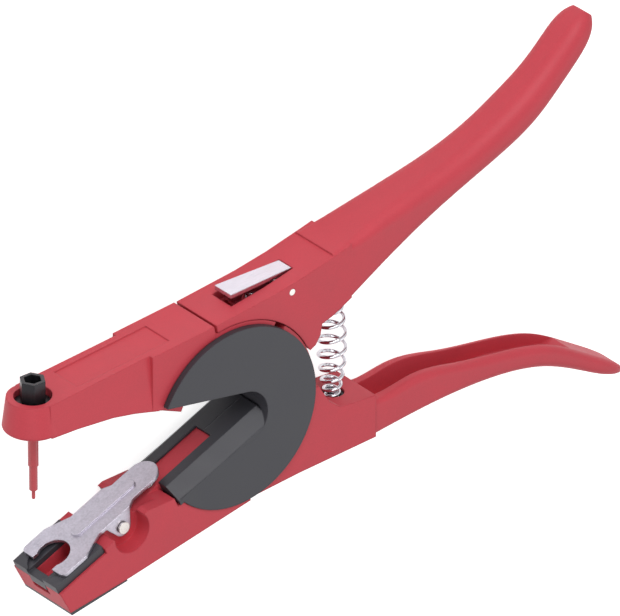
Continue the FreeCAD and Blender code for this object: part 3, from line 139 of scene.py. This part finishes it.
@dataclass(frozen=True)
class Finish:
    """A surface finish: what the material is and how its surface was made."""

    name: str
    colour: str
    roughness: float
    metallic: float = 0.0
    coat: float = 0.0
    coat_roughness: float = 0.1
    specular: float = 0.5
    ior: float = 1.5
    sheen: float = 0.0
    dark_tint: float = 0.90
    light_tint: float = 1.06
    mottle_mm: float = 9.0
    grain_mm: float = 0.6
    grain_height_mm: float = 0.02
    roughness_spread: float = 0.06
    edge_mm: float = 0.0
    brushed: bool = False

    def build(self) -> bpy.types.Material:
        """Make the material.

        Mottle and grain are noises on Object coordinates, so both keep their size in millimetres.

        Returns:
            The new material.
        """
        material = bpy.data.materials.new(self.name)
        material.use_nodes = True
        tree = material.node_tree
        tree.nodes.clear()
        place = node(tree, "TexCoord").outputs["Object"]
        if self.brushed:
            place = node(tree, "Mapping", inputs={
                "Vector": place, "Scale": (1.0, 7.0, 7.0), "Rotation": (0, 0, math.radians(-24)),
            }).outputs["Vector"]
        mottle = node(tree, "TexNoise", inputs={
            "Vector": place, "Scale": 1 / (self.mottle_mm * MM), "Detail": 4.0, "Roughness": 0.6,
        }).outputs["Fac"]
        grain = node(tree, "TexNoise", inputs={
            "Vector": place, "Scale": 1 / (self.grain_mm * MM), "Detail": 2.0, "Roughness": 0.55,
        }).outputs["Fac"]
        blend = node(tree, "Math", {"operation": "MULTIPLY_ADD"}, {
            0: grain, 1: 0.5, 2: node(tree, "Math", {"operation": "MULTIPLY"}, {
                0: mottle, 1: 0.5}).outputs[0]}).outputs[0]
        base = linear(self.colour)
        tint = node(tree, "MapRange", inputs={
            "Value": blend, "From Min": 0.35, "From Max": 0.65,
            "To Min": self.dark_tint, "To Max": self.light_tint,
        }).outputs["Result"]
        colour = node(tree, "Mix", {"data_type": "RGBA", "blend_type": "MULTIPLY"}, {
            "Factor": 1.0, 6: base, 7: node(tree, "CombineColor", inputs={
                "Red": tint, "Green": tint, "Blue": tint}).outputs["Color"],
        }).outputs[2]
        rough = node(tree, "MapRange", inputs={
            "Value": blend, "From Min": 0.3, "From Max": 0.7,
            "To Min": self.roughness - self.roughness_spread,
            "To Max": self.roughness + self.roughness_spread,
        }).outputs["Result"]
        normal = {}
        if self.edge_mm:
            normal["Normal"] = node(tree, "Bevel", {"samples": 4}, {
                "Radius": self.edge_mm * MM}).outputs["Normal"]
        bump = node(tree, "Bump", inputs={
            "Height": grain, "Distance": self.grain_height_mm * MM, "Strength": 1.0, **normal,
        }).outputs["Normal"]
        shader = node(tree, "BsdfPrincipled", inputs={
            "Base Color": colour, "Roughness": rough, "Metallic": self.metallic, "Normal": bump,
        })
        shader.inputs["Coat Weight"].default_value = self.coat
        shader.inputs["Coat Roughness"].default_value = self.coat_roughness
        shader.inputs["Specular IOR Level"].default_value = self.specular
        if not self.metallic:
            shader.inputs["IOR"].default_value = self.ior
        node(tree, "OutputMaterial", inputs={"Surface": shader.outputs["BSDF"]})
        return material


# Polyester powder coat on die-cast aluminium: matt red with a fine sandy grain.
POWDER_COAT_RED = Finish(
    "powder_coated_die_cast_aluminium", "#CB4450", 0.52, specular=0.35, mottle_mm=14.0, grain_mm=0.45,
    grain_height_mm=0.012, dark_tint=0.93, light_tint=1.05, edge_mm=0.7,
)
# Glass-filled nylon out of a spark-eroded mould: dark grey, dull, with a soft highlight.
MOULDED_NYLON_BLACK = Finish(
    "moulded_glass_filled_nylon", "#3A3A40", 0.46, specular=0.4, mottle_mm=11.0, grain_mm=0.35,
    grain_height_mm=0.010, dark_tint=0.9, light_tint=1.08, edge_mm=0.5,
)
# Stamped steel, barrel-nickelled: pale, slightly lilac, dulled by tumbling marks.
NICKEL_STAMPED = Finish(
    "barrel_nickelled_stamped_steel", "#B4B0BB", 0.36, metallic=1.0, mottle_mm=3.2, grain_mm=0.8,
    grain_height_mm=0.02, dark_tint=0.8, light_tint=1.08, roughness_spread=0.1, edge_mm=0.5,
)
# Cast catch, polished and chromed: bright and cool, with faint polishing lines.
CHROME_POLISHED = Finish(
    "chromed_polished_casting", "#CBC9D2", 0.2, metallic=1.0, mottle_mm=5.0, grain_mm=0.5,
    grain_height_mm=0.004, dark_tint=0.9, light_tint=1.05, roughness_spread=0.06, edge_mm=0.5,
    brushed=True,
)
# Drawn spring wire, bright chromed: sharp streaks along each turn.
CHROME_WIRE = Finish(
    "chromed_drawn_spring_wire", "#D2D2D8", 0.12, metallic=1.0, mottle_mm=2.0, grain_mm=0.5,
    grain_height_mm=0.003, dark_tint=0.88, light_tint=1.05, roughness_spread=0.05,
)
# Turned steel, bright: pale pin ends with a fine turned face.
TURNED_STEEL = Finish(
    "turned_bright_steel", "#C9C4C0", 0.3, metallic=1.0, mottle_mm=2.0, grain_mm=0.3,
    grain_height_mm=0.006, dark_tint=0.86, light_tint=1.05, edge_mm=0.3,
)
# Blackened steel: nearly black with a thin oily shine.
BLACK_OXIDE = Finish(
    "black_oxide_machined_steel", "#2A2A2E", 0.34, metallic=0.55, mottle_mm=3.0, grain_mm=0.4,
    grain_height_mm=0.008, dark_tint=0.8, light_tint=1.2, roughness_spread=0.08, edge_mm=0.4,
)
# Red enamel over the turned pin: smoother and a little browner than the castings.
ENAMELLED_PIN = Finish(
    "red_enamel_on_turned_steel", "#C4474E", 0.34, coat=0.2, mottle_mm=4.0, grain_mm=0.5,
    grain_height_mm=0.004, dark_tint=0.92, light_tint=1.05, edge_mm=0.2,
)


# ---------------------------------------------------------------------------------------------
# sub-assemblies
# ---------------------------------------------------------------------------------------------

@dataclass
class Dressed:
    """Solids that keep their shape and get one finish."""

    label: str
    nodes: tuple[str, ...]
    finish: Finish

    def build(self) -> None:
        """Put the finish on each solid's material slots."""
        material = self.finish.build()
        for name in self.nodes:
            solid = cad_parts[name]
            if not solid.data.materials:
                solid.data.materials.append(material)
            for number in range(len(solid.material_slots)):
                solid.material_slots[number].material = material
            LOG.info("%s: %s in %s", self.label, name, material.name)


class End(enum.Enum):
    """How the end turns of a coil spring are made."""

    CLOSED = "closed"
    OPEN = "open"


@dataclass
class CoilSpring:
    """Coil of round wire wound about a line; the coil's radius swells towards its middle.

    Attributes:
        label: name of the piece.
        solid: solid that the coil stands for.
        foot: lower end of the axis in metres.
        head: upper end of the axis in metres.
        wire: wire diameter in metres.
        end_radius: outside radius at the ends in metres.
        mid_radius: outside radius at the middle in metres.
        turns: turns from end to end.
        bodies: bodies that hold the foot and the head; not used.
        finish: surface of the wire.
        bow: how far the middle stands aside of the line, as a vector in metres.
        ends: how the end turns are made.
    """

    label: str
    solid: str
    foot: Vector
    head: Vector
    wire: float
    end_radius: float
    mid_radius: float
    turns: float
    bodies: tuple[str, str]
    finish: Finish
    slot: str
    bow: Vector = field(default_factory=lambda: Vector((0, 0, 0)))
    ends: End = End.CLOSED
    steps_per_turn: int = 48
    sides: int = 14

    def centre_line(self) -> np.ndarray:
        """Points along the wire.

        The height share h runs from 0 to 1 with the turn angle, slower over the closed end turns.
        The radius is end + (mid - end) * sin(pi h), and the axis bows by sin(pi h) as well.

        Returns:
            Array of points in metres.
        """
        count = int(self.turns * self.steps_per_turn)
        share = np.linspace(0.0, 1.0, count + 1)
        lie_flat = 0.8 if self.ends is End.CLOSED else 0.0
        climb = share - lie_flat / (2 * math.pi) * np.sin(2 * math.pi * share)
        swell = np.sin(math.pi * climb)
        radius = self.end_radius + (self.mid_radius - self.end_radius) * swell - self.wire / 2
        angle = 2 * math.pi * self.turns * share
        axis = np.array(self.head - self.foot)
        length = np.linalg.norm(axis)
        axis /= length
        side = unit(np.cross(axis, (0.0, 0.0, 1.0)))
        front = np.cross(axis, side)
        inset = self.wire / 2
        height = inset + climb * (length - 2 * inset)
        return (np.array(self.foot) + height[:, None] * axis + swell[:, None] * np.array(self.bow)
                + radius[:, None] * (np.cos(angle)[:, None] * side + np.sin(angle)[:, None] * front))

    def build(self) -> bpy.types.Object:
        """Sweep a round section along the centre line, square to its tangent.

        Returns:
            The finished coil.
        """
        line = self.centre_line()
        tangent = unit(np.gradient(line, axis=0))
        axis = np.array((self.head - self.foot).normalized())
        across = unit(np.cross(tangent, axis))
        third = np.cross(tangent, across)
        around = np.linspace(0, 2 * math.pi, self.sides, endpoint=False)
        section = (np.cos(around)[None, :, None] * across[:, None, :]
                   + np.sin(around)[None, :, None] * third[:, None, :])
        coil = grid_mesh(self.label, line[:, None, :] + section * self.wire / 2)
        coil.data.materials.append(self.finish.build())
        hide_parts(self.solid)
        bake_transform(coil)
        LOG.info("%s: %.1f turns of %.1f mm wire", self.label, self.turns, self.wire / MM)
        return coil


def box_corners(name: str) -> tuple[np.ndarray, np.ndarray]:
    """Lowest and highest corner of a solid at rest."""
    low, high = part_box(name)
    return np.array(low, float), np.array(high, float)


@dataclass
class Springs:
    """The opening spring between the handles and the small springs of the clip and the catch."""

    handle_wire: float = 1.35 * MM
    handle_turns: float = 14.5
    clip_wire: float = 0.55 * MM
    clip_turns: float = 5.0
    catch_wire: float = 0.4 * MM
    catch_turns: float = 3.5
    closing_angle: float = math.radians(24.0)

    def build(self) -> None:
        """Wind the three springs where their solids are."""
        low, high = box_corners("handle_spring")
        mid = (low + high) / 2
        widest = (high[0] - low[0]) / 2
        CoilSpring(
            "handle_spring_coil", "handle_spring", Vector((mid[0], low[1], mid[2])),
            Vector((mid[0], high[1], mid[2])), self.handle_wire, 2.4 * MM, widest,
            self.handle_turns, ("pin_body", "jaw_body"), CHROME_WIRE, "spring_steel",
        ).build()
        low, high = box_corners("catch_spring")
        mid = (low + high) / 2
        radius = (high[0] - low[0]) / 2
        CoilSpring(
            "catch_spring_coil", "catch_spring", Vector((mid[0], low[1], mid[2])),
            Vector((mid[0], high[1], mid[2])), self.catch_wire, radius, radius,
            self.catch_turns, ("jaw_body", "catch_body"), CHROME_WIRE, "spring_steel",
        ).build()
        low, high = box_corners("clip_spring")
        radius = (high[2] - low[2]) / 2
        along = Vector((-math.sin(self.closing_angle), math.cos(self.closing_angle), 0))
        mid = Vector((low + high) / 2)
        reach = (high[1] - low[1]) / 2
        half = (reach - radius * math.sin(self.closing_angle)) / math.cos(self.closing_angle)
        CoilSpring(
            "clip_spring_coil", "clip_spring", mid - along * half, mid + along * half,
            self.clip_wire, radius, radius, self.clip_turns, ("jaw_body", "clip_body"),
            CHROME_WIRE, "spring_steel",
        ).build()


@dataclass
class Studio:
    """Pale floor, soft lamps and the camera."""

    view_width: float = 206.7 * MM
    lens: float = 1200.0
    sensor: float = 36.0
    target: Vector = field(default_factory=lambda: Vector((30.9, 31.0, 26.0)) * MM)
    right: Vector = field(default_factory=lambda: Vector((0.778, 0.0, 0.628)))
    up: Vector = field(default_factory=lambda: Vector((0.311, 0.869, -0.385)))

    def camera(self) -> None:
        """Long lens from the near, upper and front side of the tool."""
        data = bpy.data.cameras.new("camera")
        data.lens = self.lens
        data.sensor_width = self.sensor
        back = self.right.cross(self.up).normalized()
        distance = self.lens * self.view_width / self.sensor
        data.clip_end = distance * 4
        camera = bpy.data.objects.new("camera", data)
        turn = Matrix((self.right.normalized(), self.up.normalized(), back)).transposed()
        camera.matrix_world = Matrix.Translation(self.target + back * distance) @ turn.to_4x4()
        bpy.context.scene.collection.objects.link(camera)
        bpy.context.scene.camera = camera

    def floor(self) -> None:
        """Wide floor that is white to the eye and keeps a soft shadow."""
        size = 3.0
        mesh = bpy.data.meshes.new("floor")
        corners = [(-size, -size, 0), (size, -size, 0), (size, size, 0), (-size, size, 0)]
        mesh.from_pydata(corners, [], [(0, 1, 2, 3)])
        floor = bpy.data.objects.new("floor", mesh)
        bpy.context.scene.collection.objects.link(floor)
        material = bpy.data.materials.new("pale_paper_sweep")
        material.use_nodes = True
        tree = material.node_tree
        tree.nodes.clear()
        path = node(tree, "LightPath")
        seen = node(tree, "Math", {"operation": "MAXIMUM"}, {
            0: path.outputs["Is Camera Ray"], 1: node(tree, "Math", {"operation": "MAXIMUM"}, {
                0: path.outputs["Is Glossy Ray"], 1: path.outputs["Is Transmission Ray"],
            }).outputs[0]}).outputs[0]
        paper = node(tree, "BsdfDiffuse", inputs={"Color": linear("#E6E6E6")}).outputs["BSDF"]
        glow = node(tree, "Emission", inputs={
            "Color": linear("#FFFFFF"), "Strength": node(tree, "Math", {"operation": "MULTIPLY"}, {
                0: seen, 1: 0.8}).outputs[0],
        }).outputs["Emission"]
        both = node(tree, "AddShader", inputs={0: paper, 1: glow}).outputs[0]
        node(tree, "OutputMaterial", inputs={"Surface": both})
        mesh.materials.append(material)

    def world(self) -> None:
        """Even pale surroundings; the eye and the bright metal see them white."""
        world = bpy.data.worlds.new("studio")
        bpy.context.scene.world = world
        world.use_nodes = True
        tree = world.node_tree
        tree.nodes.clear()
        path = node(tree, "LightPath")
        seen = node(tree, "Math", {"operation": "MAXIMUM"}, {
            0: path.outputs["Is Camera Ray"], 1: node(tree, "Math", {"operation": "MAXIMUM"}, {
                0: path.outputs["Is Glossy Ray"], 1: path.outputs["Is Transmission Ray"],
            }).outputs[0]}).outputs[0]
        strength = node(tree, "MapRange", inputs={
            "Value": seen, "To Min": 0.38, "To Max": 1.0}).outputs["Result"]
        back = node(tree, "Background", inputs={
            "Color": linear("#FFFFFF"), "Strength": strength}).outputs["Background"]
        node(tree, "OutputWorld", inputs={"Surface": back})

    def lamp(self, name: str, place: tuple[float, float, float], size: float, power: float) -> None:
        """Soft square lamp that looks at the tool.

        Args:
            name: name of the lamp.
            place: where it stands in metres.
            size: its side in metres.
            power: its power in watts.
        """
        data = bpy.data.lights.new(name, "AREA")
        data.size = size
        data.energy = power
        lamp = bpy.data.objects.new(name, data)
        lamp.location = place
        aim = self.target - Vector(place)
        lamp.rotation_euler = aim.to_track_quat("-Z", "Y").to_euler()
        bpy.context.scene.collection.objects.link(lamp)

    def build(self) -> None:
        """Set the stage, the lamps and the camera."""
        self.world()
        self.floor()
        self.lamp("key_lamp", (-0.15, 0.85, 0.55), 0.5, 4.6)
        self.lamp("fill_lamp", (-0.7, 0.1, 0.8), 0.6, 2.1)
        self.lamp("rim_lamp", (0.6, -0.3, 0.7), 0.5, 1.0)
        self.camera()
        bpy.context.scene.view_settings.view_transform = "Standard"
        LOG.info("studio: %.0f mm wide view", self.view_width / MM)


def main() -> None:
    """Dress the tool, wind its springs and set the stage."""
    logging.basicConfig(level=logging.INFO, format="%(message)s")
    Dressed("castings", ("jaw_lever", "pin_lever"), POWDER_COAT_RED).build()
    # The jaw sole is a black strip along the lower jaw's bottom edge that stands in for the shade on
    # that edge: painted shade.
    Dressed("guard plastics and painted-shade jaw sole",
            ("guard_near_half", "guard_far_half", "tag_nest", "jaw_sole"), MOULDED_NYLON_BLACK).build()
    Dressed("clip", ("tag_clip",), NICKEL_STAMPED).build()
    Dressed("catch", ("catch_lever",), CHROME_POLISHED).build()
    Dressed("pins", ("clip_pin", "catch_pin"), TURNED_STEEL).build()
    Dressed("black fasteners",
            ("pin_nut", "nut_washer", "guard_screws", "nest_screws", "spring_cup"), BLACK_OXIDE).build()
    Dressed("applicator pin", ("applicator_pin",), ENAMELLED_PIN).build()
    Springs().build()
    Studio().build()
    bpy.context.view_layer.update()


if __name__ == "__main__":
    main()
